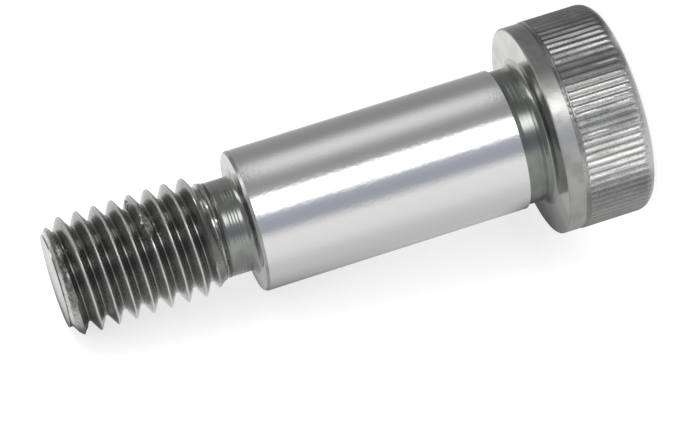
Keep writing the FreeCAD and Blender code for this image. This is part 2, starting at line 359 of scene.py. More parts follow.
# %% The winding: every point's angle and its place along the bolt
RIBBON_SHARES = np.array([0, 0.03, 0.075, 0.19, 0.31, 0.415, 0.47,
                          0.53, 0.585, 0.69, 0.81, 0.925, 0.97])
THREAD_FOOT = 35.525
FULL_TURNS = 9
WOUND_END = THREAD_FOOT + FULL_TURNS * PITCH
wound_count = COLUMNS * (FULL_TURNS + 1)


def ribbon_edge(column):
    """Place along the bolt of the ribbon's upper edge, kept between the two flat circles."""
    return np.clip(THREAD_FOOT + PITCH * column / COLUMNS, THREAD_FOOT, WOUND_END)


column = np.arange(wound_count + COLUMNS)[:, None]
lower, upper = ribbon_edge(column - COLUMNS), ribbon_edge(column)
along = lower + RIBBON_SHARES * (upper - lower)
thread_around = np.broadcast_to(column * 2 * np.pi / COLUMNS, along.shape)
print(f"the ribbon goes round {wound_count / COLUMNS:.0f} times with {len(RIBBON_SHARES)} rows")

# %% [markdown]
# The surface of the thread is again the lower of two shapes: the turned blank with the steps at
# the end of the neck and the tip's chamfer, and the rolled V. The crest has a small round and the
# root a larger one, as a rolling die leaves them. On top of them come the rings of a tool, and the
# dents and burrs of a hard life, each in the place where the photograph shows it.

# %% The rolled V of the thread
CREST_LAND = 0.065
CREST_ROUND = 0.02
ROOT_ROUND = 0.16
FLANK = math.tan(math.radians(60))


def rolled(height, around):
    """Radius of the rolled thread at a height and angle.

    The offset from the middle of the groove gives the V. Near the root a circle replaces it, and
    near the crest the V is capped with a soft corner: the crest's radius less
    CREST_ROUND * log(1 + exp(depth / CREST_ROUND)).
    """
    turns = (height - THREAD_FOOT) / PITCH - around / (2 * np.pi)
    offset = np.abs(turns - np.floor(turns) - 0.5) * PITCH
    sharp_root = CREST_RADIUS - FLANK * (PITCH / 2 - CREST_LAND)
    vee = sharp_root + FLANK * offset
    bend = sharp_root + 2 * ROOT_ROUND - np.sqrt(np.maximum(ROOT_ROUND ** 2 - offset ** 2, 0))
    radius = np.where(offset < ROOT_ROUND * math.cos(math.pi / 6), bend, vee)
    return CREST_RADIUS - CREST_ROUND * np.logaddexp(0, (CREST_RADIUS - radius) / CREST_ROUND)


print(f"the V is {CREST_RADIUS - rolled(THREAD_FOOT + PITCH / 2, 0.0):.2f} mm deep")

# %% The whole lower part, with its rings, dents and burrs
NECK_RIDGES = (0.26, 0.012)
RUNOUT = ((NECK_START, NECK_RADIUS), (35.3, NECK_RADIUS), (35.36, 4.06), (35.95, 4.17),
          (36.15, 4.3), (36.9, CREST_RADIUS))
# The tip's chamfer, upwards: the long slope, a flatter ring, and a thin steep line beside the face.
TIP_SLOPE = ((48.15, CREST_RADIUS), (48.45, 4.66), (48.82, 4.33), (TIP_EDGE - 0.1, 3.947),
             (TIP_EDGE, TIP_EDGE_RADIUS))
# Two rings cut round the end of the neck: place along the bolt, half width and depth.
END_RINGS = ((35.22, 0.035, 0.02), (35.5, 0.09, 0.05))
# Spots as for the knurl. A burr is a spot with a depth below nothing.
THREAD_SPOTS = (
    (41.25, -30, 0.22, 9.0, 0.42), (41.38, -45, 0.24, 6.0, 0.12), (41.12, -9, 0.2, 7.0, 0.07),
    (40.65, -31, 0.25, 5.0, 0.06), (41.15, -16, 0.1, 1.5, 0.1), (42.95, -52, 0.2, 2.5, 0.05),
    (38.2, 40, 0.15, 4.0, 0.04), (45.75, 33, 0.15, 6.0, 0.05), (44.3, 120, 0.2, 5.0, 0.12),
    (42.7, 160, 0.2, 4.0, 0.08), (39.6, 205, 0.2, 6.0, 0.1), (46.6, 232, 0.2, 4.0, 0.07),
    (48.3, -38, 0.25, 6.0, 0.05), (41.97, -80, 0.08, 4.0, -0.42), (41.9, -72, 0.08, 3.0, -0.2),
    (40.6, -19, 0.08, 1.6, -0.1), (42.1, -20, 0.07, 1.2, -0.08), (41.38, -27, 0.07, 1.6, -0.16),
    (40.2, -45, 0.1, 3.0, -0.05), (47.8, 88, 0.16, 14.0, -0.17), (46.3, 88, 0.12, 8.0, -0.06),
)
SOFT = 0.012
GROOVE_START = 35.62
blank_height, blank_radius = np.array(RUNOUT + TIP_SLOPE).T


def thread_skin(height, around):
    """Radius of the lower part at a height and angle: the lower of the blank and the thread, with
    a soft corner between them, the tool's rings on the neck, and the dents."""
    blank = np.interp(height, blank_height, blank_radius) + 0 * around
    groove = rolled(height, around) + 2 * np.maximum(GROOVE_START - height, 0)
    skin = -SOFT * np.logaddexp(-blank / SOFT, -groove / SOFT)
    skin += scallops(height, NECK_START, NECK_START + 1.17, *NECK_RIDGES)
    for place, wide, depth in END_RINGS:
        skin -= depth * np.exp(-((height - place) / wide) ** 2)
    return hollow(skin, height, around, THREAD_SPOTS)


thread_radius = thread_skin(along, thread_around)
neck_height = np.r_[np.arange(NECK_START + 0.052, 34.76, 0.052), np.linspace(34.86, 35.1, 3),
                    np.linspace(35.15, THREAD_FOOT - 0.03, 9)]
neck_skin = thread_skin(neck_height[:, None], angles)
slope_height = np.r_[WOUND_END + 0.03, TIP_EDGE - np.array([0.11, 0.1, 0.09, 0.01, 0.0])]
slope_skin = thread_skin(slope_height[:, None], angles)
crown_radius = np.array([TIP_EDGE_RADIUS - 0.02, 3.6, 3.0, 2.2, 1.4, 0.6])
crown_height = TIP - (TIP - TIP_EDGE) * (crown_radius / TIP_EDGE_RADIUS) ** 2
print(f"thread: {thread_radius.min():.2f} to {thread_radius.max():.2f} mm from the axis")

# %% [markdown]
# ## One closed mesh
# The parts are joined into one skin, from a single point in the middle of the socket's floor to a
# single point in the middle of the tip. Each ring's points are numbered in order, and a face is
# four numbers: a point, its neighbour round the ring, and the two above them. Seen from outside
# they run anticlockwise, so the face looks outwards.

# %% Number the rings and join them
FINISHES = ["socket", "faced", "knurled", "turned", "undercut", "ground", "rolled"]
sheets = [
    ("socket", *socket, angles),
    ("faced", *turned(top_profile)),
    ("knurled", knurl_radius, knurl_height, knurl_angles),
    ("turned", *turned(band_profile)),
    ("turned", *turned(rim_profile)),
    ("faced", *turned(face_profile)),
    ("undercut", *turned(relief_profile)),
    ("ground", *turned(shoulder_profile)),
    ("turned", *turned(break_profile)),
    ("faced", *turned(end_profile)),
    ("undercut", *turned(neck_profile)),
    ("undercut", neck_skin, *np.broadcast_arrays(neck_height[:, None], angles)),
]
tip_sheets = [
    ("rolled", slope_skin, *np.broadcast_arrays(slope_height[:, None], angles)),
    ("faced", *turned(np.stack([crown_radius, crown_height], 1))),
]


def in_space(radius, height, around):
    """Points from radius, height and angle: radius * (cosine, sine), and the height."""
    return np.stack([radius * np.cos(around), radius * np.sin(around), height], -1)


points = [np.array([[0.0, 0.0, socket_floor]])]
faces, face_finish = [], []
count = 1


def add_faces(corners, finish):
    """Keeps a block of faces, one row of point numbers each, with its finish."""
    faces.append(corners)
    face_finish.append(np.full(len(corners), FINISHES.index(finish)))


def bridge(ring, following, finish):
    """Faces between two rings of point numbers, with equal counts or with one to three."""
    if len(ring) == len(following):
        add_faces(np.stack([ring, np.roll(ring, -1), np.roll(following, -1), following], 1), finish)
        return
    fine, coarse = (following, ring) if len(following) > len(ring) else (ring, following)
    p, q, r = fine.reshape(-1, 3).T
    a, b, s = coarse, np.roll(coarse, -1), np.roll(p, -1)
    for block in ((a, q, p), (a, b, r, q), (b, s, r)):
        add_faces(np.stack(block if fine is following else block[::-1], 1), finish)


def add_sheet(sheet, last_ring):
    """Joins a sheet to the ring before it, ring by ring, and gives its own last ring."""
    global count
    finish, *shape = sheet
    grid = count + np.arange(shape[0].size).reshape(shape[0].shape)
    points.append(in_space(*shape).reshape(-1, 3))
    count += grid.size
    for ring in grid:
        if last_ring is None:
            add_faces(np.stack([0 * ring, np.roll(ring, -1), ring], 1), finish)
        else:
            bridge(last_ring, ring, finish)
        last_ring = ring
    return last_ring


last_ring = None
for sheet in sheets:
    last_ring = add_sheet(sheet, last_ring)
print(f"{count} points from the socket to the neck")

# %% Number the winding and close the tip
ids = count + np.arange(along.size).reshape(along.shape)
ids[0] = ids[0, 0]
ids[COLUMNS, 0] = ids[0, 0]
ids[wound_count] = ids[wound_count, 0]
points.append(in_space(thread_radius, along, thread_around).reshape(-1, 3))
count += along.size

step = np.arange(wound_count + 1)
above = np.where(step + COLUMNS < wound_count + COLUMNS, step + COLUMNS, wound_count)
wide = np.concatenate([ids[step], ids[above, 0][:, None]], 1)
quads = np.stack([wide[:-1, :-1], wide[1:, :-1], wide[1:, 1:], wide[:-1, 1:]], -1).reshape(-1, 4)
# Where the ribbon has no width yet, or none any more, a face has three corners or is left out.
left, right = quads[:, 0] == quads[:, 3], quads[:, 1] == quads[:, 2]
add_faces(quads[~left & ~right], "rolled")
add_faces(quads[left & ~right][:, :3], "rolled")
add_faces(quads[right & ~left][:, [0, 1, 3]], "rolled")
bridge(last_ring, ids[:COLUMNS, 0], "undercut")

last_ring = ids[wound_count:wound_count + COLUMNS, 0]
for sheet in tip_sheets:
    last_ring = add_sheet(sheet, last_ring)
points.append(np.array([[0.0, 0.0, TIP]]))
add_faces(np.stack([last_ring, np.roll(last_ring, -1), np.full(COLUMNS, count)], 1), "faced")
print(f"{sum(len(block) for block in faces)} faces")

# %% [markdown]
# Points that no face uses are dropped, and the arrays go into Blender, each face with the number
# of its finish. Shading is smooth, except where two faces meet at a sharp angle.

# %% Make the mesh
SHARP_ANGLE = 24
used = np.unique(np.concatenate([block.ravel() for block in faces]))
points = np.concatenate(points)[used] * MM
face_finish = np.concatenate(face_finish)
# A point's new number is its place in the sorted list of those that are used.
face_lists = [corner for block in faces for corner in np.searchsorted(used, block).tolist()]


def put_in(name, places, corners):
    """A smooth object in the scene, from a list of points and a list of faces."""
    data = bpy.data.meshes.new(name)
    data.from_pydata(places, [], corners)
    data.validate()
    data.shade_smooth()
    item = bpy.data.objects.new(name, data)
    bpy.context.collection.objects.link(item)
    return item


bolt = put_in("shoulder_bolt_skin", points.tolist(), face_lists)
bolt.data.polygons.foreach_set("material_index", face_finish.astype(np.int32))
bolt.data.set_sharp_from_angle(angle=math.radians(SHARP_ANGLE))
triangles = sum(len(corner) - 2 for corner in face_lists)
print(f"{len(points)} points, {triangles} triangles")

# %% [markdown]
# The mesh is tested before it is dressed: every edge must have exactly two faces, run through once
# in each direction, and the volume, which should be positive, is printed.

# %% Is the skin closed, and does it face outwards?
edges = [edge for corner in face_lists for edge in zip(corner, corner[1:] + corner[:1])]
starts, ends = np.array(edges).T
forward, backward = np.sort(starts * len(points) + ends), np.sort(ends * len(points) + starts)
closed = bool(np.diff(forward).all() and (forward == backward).all())
thirds = [(c[0], c[i], c[i + 1]) for c in face_lists for i in range(1, len(c) - 1)]
a, b, c = points[np.array(thirds).T]
volume = np.einsum("ij,ij->i", a, np.cross(b, c)).sum() / 6
print(f"closed: {closed}, volume {volume * 1e9:.0f} cubic mm")

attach(bolt, "root")
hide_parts("shoulder_bolt")

# %% [markdown]
# ## Finishes
# Every finish is bright steel, so all of them are the same metal shader. What differs is how much
# oil and oxide dulls the colour, how rough the surface is, and which way the marks of its machine
# run. The patterns are noise on the object's own coordinates in metres. Stretched across the axis,
# the noise turns into fine rings, as from a lathe tool or a grinding wheel. A node's output knows
# the tree it is in, as its id_data, so most helpers need only the outputs that they work on.

# %% Helpers for the finishes
RINGS = (40, 40, 1)
OIL_ROUGHNESS = 0.15
NOISE_ROUGHNESS = 0.55
steels = {}


def add(tree, kind, inputs, **settings):
    """A new shader node: its settings come first, then each input is linked or given a value."""
    node = tree.nodes.new("ShaderNode" + kind)
    for name, value in settings.items():
        setattr(node, name, value)
    for socket, value in inputs.items():
        if isinstance(value, bpy.types.NodeSocket):
            tree.links.new(value, node.inputs[socket])
        else:
            node.inputs[socket].default_value = value
    return node


def finish_of(name, oil=0.0, roughness=0.5):
    """A metal material with a film of oil. Gives its shader and its position output."""
    material = bpy.data.materials.new(f"{name}_steel")
    material.use_nodes = True
    shader = material.node_tree.nodes["Principled BSDF"]
    for socket, value in (("Metallic", 1.0), ("Roughness", roughness), ("Coat Weight", oil),
                          ("Coat Roughness", OIL_ROUGHNESS)):
        shader.inputs[socket].default_value = value
    steels[name] = material
    print(f"{name} steel, with {oil:.0%} oil on it")
    return shader, add(material.node_tree, "TexCoord", {}).outputs["Object"]


def marks(place, spacing, detail=3.0, stretch=(1, 1, 1)):
    """Noise from 0 to 1 whose marks are a spacing apart in metres, stretched along an axis."""
    scale = [1 / spacing / factor for factor in stretch]
    scaled = add(place.id_data, "Mapping", {"Vector": place, "Scale": scale}).outputs["Vector"]
    return add(place.id_data, "TexNoise", {"Vector": scaled, "Scale": 1.0, "Detail": detail,
                                           "Roughness": NOISE_ROUGHNESS}).outputs["Fac"]


def between(value, low, high, to_low=0.0, to_high=1.0):
    """A value mapped smoothly from one range to another, and held at its ends."""
    ends = {"Value": value, "From Min": low, "From Max": high, "To Min": to_low, "To Max": to_high}
    return add(value.id_data, "MapRange", ends, interpolation_type="SMOOTHSTEP").outputs["Result"]


def colour(value):
    """An output of the tree as it is, and a gray or red, green and blue as four numbers."""
    if isinstance(value, bpy.types.NodeSocket):
        return value
    return (*np.broadcast_to(value, 3).tolist(), 1.0)


def mixed(share, low, high):
    """A colour between two colours."""
    ends = {"Factor": share, "A": colour(low), "B": colour(high)}
    return add(share.id_data, "Mix", ends, data_type="RGBA").outputs["Result"]


def feed(shader, socket, value):
    """Links a value to an input of a shader that is already there."""
    shader.id_data.links.new(value, shader.inputs[socket])


def relief(shader, *layers):
    """Bump layers on the shader, each a height from 0 to 1 and its depth in metres."""
    under = {}
    for height, deep in layers:
        bump = add(shader.id_data, "Bump", {"Height": height, "Distance": deep, **under})
        under = {"Normal": bump.outputs["Normal"]}
    feed(shader, "Normal", under["Normal"])


# %% [markdown]
# ### Ground
# The shoulder is the brightest part. It mirrors the room in long clear streaks, and a slight
# ripple of the grinding breaks the edges of the dark streaks into mottles. Round it run hair-thin
# scratches from the wheel, and a few pits and scuffs are left from use.

# %% Ground steel of the shoulder
GROUND = (0.62, 0.62, 0.625)
shader, place = finish_of("ground")
ripple = marks(place, 0.00028, 4.0)
wheel = marks(place, 0.00007, 2.0, RINGS)
pits = between(marks(place, 0.00035), 0.7, 0.78)
worn = marks(place, 0.004)
feed(shader, "Base Color", mixed(pits, GROUND, 0.55))
feed(shader, "Roughness", between(worn, 0.3, 0.7, 0.11, 0.17))
relief(shader, (wheel, 0.0000008), (ripple, 0.00001), (pits, 0.0000025))

# %% [markdown]
# ### Turned, faced and undercut
# The plain band of the head is turned, under a thin film of oil, and painted lighter across the
# stretch where its highlight falls: a painted highlight. The flat faces are ground or faced, so
# their rings lie flat. The undercut and the neck are dark and glossy, because oil stays in them,
# and painted lighter at their fillets and on the neck's upper side. A place on the upper side of
# the photograph has a positive X.

# %% Turned steel of the plain band
def coordinate(place, axis):
    """One coordinate of a position, in metres."""
    return add(place.id_data, "SeparateXYZ", {"Vector": place}).outputs[axis]


def joined(first, second, operation="MULTIPLY"):
    """Two values, or a value and a number, joined by one operation."""
    return add(first.id_data, "Math", {0: first, 1: second}, operation=operation).outputs["Value"]


def layered(under, stain, *layers):
    """A colour with others laid over it in turn. Each has the share that it covers, and the two
    colours that the stain goes between."""
    for share, low, high in layers:
        under = mixed(share, under, mixed(stain, low, high))
    return under


shader, place = finish_of("turned", 0.6)
stain = marks(place, 0.0016, 4.0)
stained = between(stain, 0.35, 0.7)
upward = coordinate(place, "X")
# Painted highlight: the band's colour is lighter across the stretch of X where its highlight falls.
painted_highlight = joined(between(upward, 0.003, 0.0046, 1.0, 0.0), between(upward, -0.0045, -0.001, 0.35, 1.0))
feed(shader, "Base Color", layered(mixed(stained, (0.265, 0.27, 0.26), (0.205, 0.21, 0.205)), stained,
                                   (painted_highlight, (0.47, 0.465, 0.445), (0.38, 0.375, 0.36))))
feed(shader, "Roughness", between(stain, 0.3, 0.7, 0.35, 0.43))
relief(shader, (marks(place, 0.00012, 2.0, RINGS), 0.0000025), (marks(place, 0.00045, 4.0), 0.000024))


# %% Faced steel of the flat faces
def radius_and_height(place):
    """Distance from the bolt's axis and height above the head's top, both in metres."""
    flat = add(place.id_data, "VectorMath", {0: place, 1: (1, 1, 0)}, operation="MULTIPLY")
    length = add(place.id_data, "VectorMath", {0: flat.outputs["Vector"]}, operation="LENGTH")
    return length.outputs["Value"], coordinate(place, "Z")


RING_SPACING = 0.00012
shader, place = finish_of("faced", roughness=0.15)
radius, height = radius_and_height(place)
rings = add(place.id_data, "TexNoise", {"W": radius, "Scale": 1 / RING_SPACING, "Detail": 2.0},
            noise_dimensions="1D")
stained = between(marks(place, 0.002, 4.0), 0.4, 0.75)
feed(shader, "Base Color", mixed(stained, (0.62, 0.62, 0.61), (0.47, 0.49, 0.46)))
relief(shader, (rings.outputs["Fac"], 0.0000025))


# %% Undercut steel, dark with oil
def close_to(place, height, down, radius, full, none):
    """One near a spot on the bolt, and none beyond a distance; all lengths in millimetres."""
    spot = in_space(radius, height, facing(down)) * MM
    away = add(place.id_data, "VectorMath", {0: place, 1: spot.tolist()}, operation="DISTANCE")
    return between(away.outputs["Value"], full * MM, none * MM, 1.0, 0.0)


def window(value, rise, full, fade, gone):
    """One from full to fade, and none before rise and after gone."""
    return joined(between(value, rise, full), between(value, fade, gone, 1.0, 0.0))


# Painted shade in the rings cut round the end of the neck: where it begins and ends, in metres.
PAINTED_GROOVE_SHADE = (0.03533, 0.0354, 0.0356, 0.03567)
shader, place = finish_of("undercut", 0.3, 0.19)
radius, height = radius_and_height(place)
stain = marks(place, 0.0012, 4.0)
stained = between(stain, 0.35, 0.7)
# Painted light: the undercut is lighter on its fillet, to lift the dark that the fillet mirrors.
head_end = layered(mixed(stained, (0.2, 0.21, 0.2), (0.155, 0.165, 0.157)), stain,
                   (between(radius, 0.00586, 0.006), (0.36, 0.365, 0.355), (0.29, 0.295, 0.285)))
upward = coordinate(place, "X")
smudge = joined(close_to(place, 34.05, -42, NECK_RADIUS, 0.15, 0.5),
                between(marks(place, 0.0002, 4.0), 0.42, 0.56))
# Painted light: the neck is lighter on its upper side, at large X, and in the next layer on its
# fillet.
neck_end = layered(mixed(stained, (0.25, 0.258, 0.248), (0.195, 0.203, 0.193)), stained,
                   (between(upward, 0.0026, 0.0038), (0.38, 0.39, 0.377), (0.31, 0.318, 0.307)))
neck_end = layered(neck_end, stain,
                   (between(radius, 0.00425, 0.0045), (0.42, 0.42, 0.41), (0.34, 0.34, 0.335)),
                   (smudge, (0.12, 0.115, 0.105), (0.16, 0.155, 0.145)))
on_neck = between(height, 0.02, 0.03)
# The last layer is painted shade in the rings cut round the end of the neck.
feed(shader, "Base Color", layered(mixed(on_neck, head_end, neck_end), stain,
                                   (window(height, *PAINTED_GROOVE_SHADE), 0.07, 0.1)))
relief(shader, (marks(place, 0.0001, 2.0, RINGS), 0.0000018))

# %% [markdown]
# ### Knurled and rolled
# The crests of the knurl and of the thread are worn bright, and dark oil and swarf stay low in the
# flutes and grooves. The distance from the axis tells one from the other. Light and shade are
# painted on the knurl by side, lighter or darker along X, and specks of dirt break up its highlights.
# On the tip the chamfer is painted dark as shade, with a bright flat ring, and a thin line beside the
# face is painted dark as shade too.

# %% Knurled steel of the head
ALONG = (1, 1, 30)
# Painted light and shade on the knurl, by side: a stretch along X, in metres, and the share at its
# start and its end.
PAINTED_SIDE_LIGHT = ((-0.0067, -0.005, 0.2, 1.0), (-0.0034, -0.0024, 1.5, 1.0), (0.0022, 0.0032, 1.0, 0.35),
         (0.004, 0.0048, 1.0, 2.8), (0.0052, 0.0058, 1.0, 0.45), (0.0062, 0.0067, 1.0, 0.12),
         (0.0074, 0.008, 1.0, 6.0))
shader, place = finish_of("knurled", 0.3)
radius, height = radius_and_height(place)
stain = marks(place, 0.0013, 4.0)
crest = joined(between(radius, (KNURL_RADIUS - FLUTE_DEPTH) * MM, (KNURL_RADIUS - 0.03) * MM),
               between(height, 0.0006, 0.0012, 0.8, 0.0), "MAXIMUM")
wear_and_painted_light = joined(between(crest, 0.0, 1.0, 0.5, 1.0), between(stain, 0.3, 0.7, 0.75, 1.15))
wear_and_painted_light = joined(wear_and_painted_light, between(marks(place, 0.00012), 0.5, 0.66, 1.1, 0.35))
upward = coordinate(place, "X")
# Painted light and shade: the flutes are made lighter or darker by side, along X.
for stretch in PAINTED_SIDE_LIGHT:
    wear_and_painted_light = joined(wear_and_painted_light, between(upward, *stretch))
# Darker towards the heel of the flutes.
wear_and_painted_light = joined(wear_and_painted_light, between(height, 0.00575, 0.00605, 1.0, 0.4))
feed(shader, "Base Color", mixed(wear_and_painted_light, (0.135, 0.135, 0.132), (0.51, 0.51, 0.5)))
feed(shader, "Roughness", between(stain, 0.3, 0.7, 0.31, 0.37))
relief(shader, (marks(place, 0.00008, 3.0, ALONG), 0.000005), (marks(place, 0.0002, 4.0), 0.00001))

# %% Rolled steel of the thread
shader, place = finish_of("rolled", 0.6)
radius, height = radius_and_height(place)
stain = marks(place, 0.0006, 4.0)
root = mixed(stain, (0.15, 0.15, 0.145), (0.2, 0.198, 0.185))
flank = mixed(between(stain, 0.35, 0.7), (0.29, 0.29, 0.285), (0.235, 0.232, 0.22))
thread_colour = layered(mixed(between(radius, 0.00405, 0.00422), root, flank), stain,
                        (between(radius, 0.00485, 0.00493), (0.62, 0.62, 0.61), (0.5, 0.5, 0.49)),
                        (between(height, 0.0368, 0.0364), (0.38, 0.38, 0.37), (0.28, 0.28, 0.275)),
                        # Painted shade in the rings cut round the end of the neck.
                        (window(height, *PAINTED_GROOVE_SHADE), 0.07, 0.1))
mottle = between(marks(place, 0.00025), 0.4, 0.6)
# Lighter and greener towards negative X.
low_side_tint = between(coordinate(place, "X"), -0.002, -0.0034)
painted_shade_line = between(height, (TIP_EDGE - 0.12) * MM, (TIP_EDGE - 0.1) * MM)
# Painted shade: the chamfer's colour is dark, and a thin line beside the face is painted dark too,
# standing in for the dark that they mirror.
tip_colour_and_shade = layered(mixed(mottle, (0.09, 0.092, 0.09), (0.24, 0.242, 0.235)), mottle,
                     (low_side_tint, (0.26, 0.285, 0.25), (0.4, 0.43, 0.385)),
                     (between(radius, 0.00428, 0.00416), (0.48, 0.48, 0.47), (0.62, 0.62, 0.61)),
                     (painted_shade_line, 0.16, 0.26))
# On the tip's chamfer the height and the radius add up to the same length.
on_tip = between(joined(height, radius, "ADD"), 0.0529, 0.05299)
harmed = joined(close_to(place, 40.85, -30, 4.5, 0.45, 0.95),
                close_to(place, 41.2, -12, 4.9, 0.2, 0.6), "MAXIMUM")
rough_spots = marks(place, 0.00016, 4.0)
dirt = joined(harmed, between(rough_spots, 0.42, 0.55))
feed(shader, "Base Color", layered(mixed(on_tip, thread_colour, tip_colour_and_shade), stain,
                                   (dirt, (0.1, 0.09, 0.075), (0.15, 0.14, 0.12))))
dull = joined(between(radius, 0.00405, 0.00425, 0.14, 0.25),
              between(radius, 0.00485, 0.00493, 0.0, 0.4), "MAXIMUM")
feed(shader, "Roughness", joined(dull, between(stain, 0.3, 0.7, 0.0, 0.05), "ADD"))
relief(shader, (marks(place, 0.00015), 0.0000025), (joined(harmed, rough_spots), 0.00003))

# %% Socket steel, dark and dull, and all the finishes on the skin
shader, place = finish_of("socket", roughness=0.42)
stained = between(marks(place, 0.0011, 4.0), 0.35, 0.7)
feed(shader, "Base Color", mixed(stained, (0.2, 0.2, 0.195), (0.11, 0.11, 0.105)))
relief(shader, (marks(place, 0.0002, 3.0, ALONG), 0.000008))

for name in FINISHES:
    bolt.data.materials.append(steels[name])
print("finishes in order:", [item.name for item in bolt.data.materials])

# %% [markdown]
# ## The studio
# A mirror finish shows the room more than itself, so the room is built with care. The bolt stands
# on a pale floor. Round it stands a light tent that only the metal sees: the streaks along the
# shoulder are the tent's panels, bright, gray and bright again. A panel that the camera's side
# shows at an angle of b below the middle stands at twice that angle round the tent.

# %% The floor, pale, with the object's shadow on it
PAPER_GRAY = 0.8
PAPER_LIGHT = 1.06
FLOOR_WHITE = 0.82
FLOOR_HALF = 2.5
# A hair below the head's top, so that the two flat faces do not fight when seen from below.
FLOOR_HEIGHT = -0.00005


def bare_material(name):
    """A material with nothing in it yet, and its node tree."""
    material = bpy.data.materials.new(name)
    material.use_nodes = True
    material.node_tree.nodes.clear()
    return material, material.node_tree


def seen_directly(tree):
    """One for what is seen by eye, in metal or through glass, and none for light that falls."""
    rays = add(tree, "LightPath", {}).outputs
    seen = joined(rays["Is Camera Ray"], rays["Is Glossy Ray"], "MAXIMUM")
    return joined(seen, rays["Is Transmission Ray"], "MAXIMUM")


def either(share, low, high):
    """A surface between two surfaces, by a share."""
    return add(share.id_data, "MixShader", {"Fac": share, 1: low, 2: high}).outputs["Shader"]


def pale_ground(name, white_share, fade=None):
    """White for the eye and in the metal, and lit as a pale gray surface besides, for the shadow.

    It is clear from behind. Where it fades, it is all white below the first height and has its
    share of white above the second.
    """
    material, tree = bare_material(name)
    if fade:
        height = coordinate(add(tree, "TexCoord", {}).outputs["Object"], "Z")
        white_share = between(height, *fade, 1.0, white_share)
    pale = add(tree, "BsdfDiffuse", {"Color": colour(PAPER_GRAY)}).outputs["BSDF"]
    white = add(tree, "Emission", {"Strength": PAPER_LIGHT}).outputs["Emission"]
    front = either(joined(seen_directly(tree), white_share), pale, white)
    behind = add(tree, "NewGeometry", {}).outputs["Backfacing"]
    clear = add(tree, "BsdfTransparent", {}).outputs["BSDF"]
    add(tree, "OutputMaterial", {"Surface": either(behind, front, clear)})
    return material


def staged(name, rows, material):
    """A stage surface from a grid of points, in metres."""
    rows = np.asarray(rows, float)
    index = np.arange(rows[..., 0].size).reshape(rows.shape[:2])
    corners = np.stack([index[:-1, :-1], index[:-1, 1:], index[1:, 1:], index[1:, :-1]], -1)
    item = put_in(name, rows.reshape(-1, 3).tolist(), corners.reshape(-1, 4).tolist())
    item.data.materials.append(material)
    return item


def seen_by(item, *rays):
    """Lets a stage surface be met by the rays that are named, and by no others."""
    for ray in ("camera", "diffuse", "glossy", "transmission", "shadow"):
        setattr(item, f"visible_{ray}", ray in rays)


floor_sides = (-FLOOR_HALF, FLOOR_HALF)
floor_rows = [[(x, y, FLOOR_HEIGHT) for x in floor_sides] for y in floor_sides]
floor = staged("floor", floor_rows, pale_ground("floor_paper", FLOOR_WHITE))
seen_by(floor, "camera", "transmission", "shadow")
print(f"floor: {2 * FLOOR_HALF:.0f} m to a side")

# %% [markdown]
# In the photograph the bolt lies on a table, and its soft shadow runs along below it. Here it
# stands, so that table is a second sheet of paper, which touches the head and the thread on the
# side away from the camera. It is clear from behind, and it shades nothing itself.

# %% The sheet behind the bolt, with the shadow along it
LAST_CREST = 48.25
SHEET_LEAN = math.atan((KNURL_RADIUS - CREST_RADIUS) / (LAST_CREST - BEARING_FACE))
SHEET_SIDE = math.radians(45)
SHEET_GAP = 0.0002
SHEET_WHITE = 0.617
SHEET_FADE = (0.002, 0.01)
vertical = np.array([0, 0, 1])
toward = np.array([math.cos(SHEET_SIDE), -math.sin(SHEET_SIDE), 0])
across = np.array([math.sin(SHEET_SIDE), math.cos(SHEET_SIDE), 0])
up_sheet = toward * math.sin(SHEET_LEAN) + vertical * math.cos(SHEET_LEAN)
touch = -toward * (KNURL_RADIUS * MM + SHEET_GAP) + vertical * BEARING_FACE * MM
sheet_rows = [[touch + up_sheet * rise + across * reach for reach in (-0.6, 0.6)]
              for rise in (-0.02, 0.9)]
sheet = staged("back_sheet", sheet_rows, pale_ground("sheet_paper", SHEET_WHITE, SHEET_FADE))
seen_by(sheet, "camera")
print(f"the sheet leans {math.degrees(SHEET_LEAN):.1f} degrees")

# %% The light tent
TENT_RADIUS = 0.6
TENT_MIDDLE = 0.02
PANELS = (
    # degrees round from the camera's side, towards the photograph's lower side; light, blue tint
    (-180, 0.95, 0), (-165, 0.73, 0), (-157, 0.56, 0), (-148, 0.46, 0), (-120, 0.39, 0),
    (-60, 0.39, 0), (-48, 0.42, 0), (-38, 0.5, 0), (3, 0.66, 0.15), (9, 0.58, 0.22),
    (17, 0.54, 0.22), (25, 0.55, 0.15), (32, 0.88, 0), (40, 1.16, 0), (60, 1.12, 0), (72, 1.06, 0),
    (88, 1, 0), (128, 1.06, 0), (146, 1.12, 0), (158, 0.92, 0), (180, 0.8, 0),
)
BLUE_TINT = np.array([-0.35, -0.05, 0.6])
ROOM_HIGH, ROOM_LOW, TABLE, CEILING = 0.46, 0.6, 1.0, 0.9
# Each lamp: its light, then where it rises and falls, round the tent and in lift, in degrees.
LAMPS = (
    (4.6, (-35, -19, -12, 2), (-24, -18, -5, -1)),
    (3.4, (-86, -81, -61, -56), (7, 15, 52, 60)),
)


def panel_light(share):
    """Light round the tent, eased from each panel to the next."""
    ramp = add(share.id_data, "ValToRGB", {"Fac": share})
    ramp.color_ramp.interpolation = "EASE"
    stops = ramp.color_ramp.elements
    while len(stops) < len(PANELS):
        stops.new(0.5)
    for stop, (degrees, _, _) in zip(stops, PANELS):
        stop.position = degrees / 360 + 0.5
    for stop, (_, light, blue) in zip(stops, PANELS):
        stop.color = colour(light * (1 + blue * BLUE_TINT))
    return ramp.outputs["Color"]


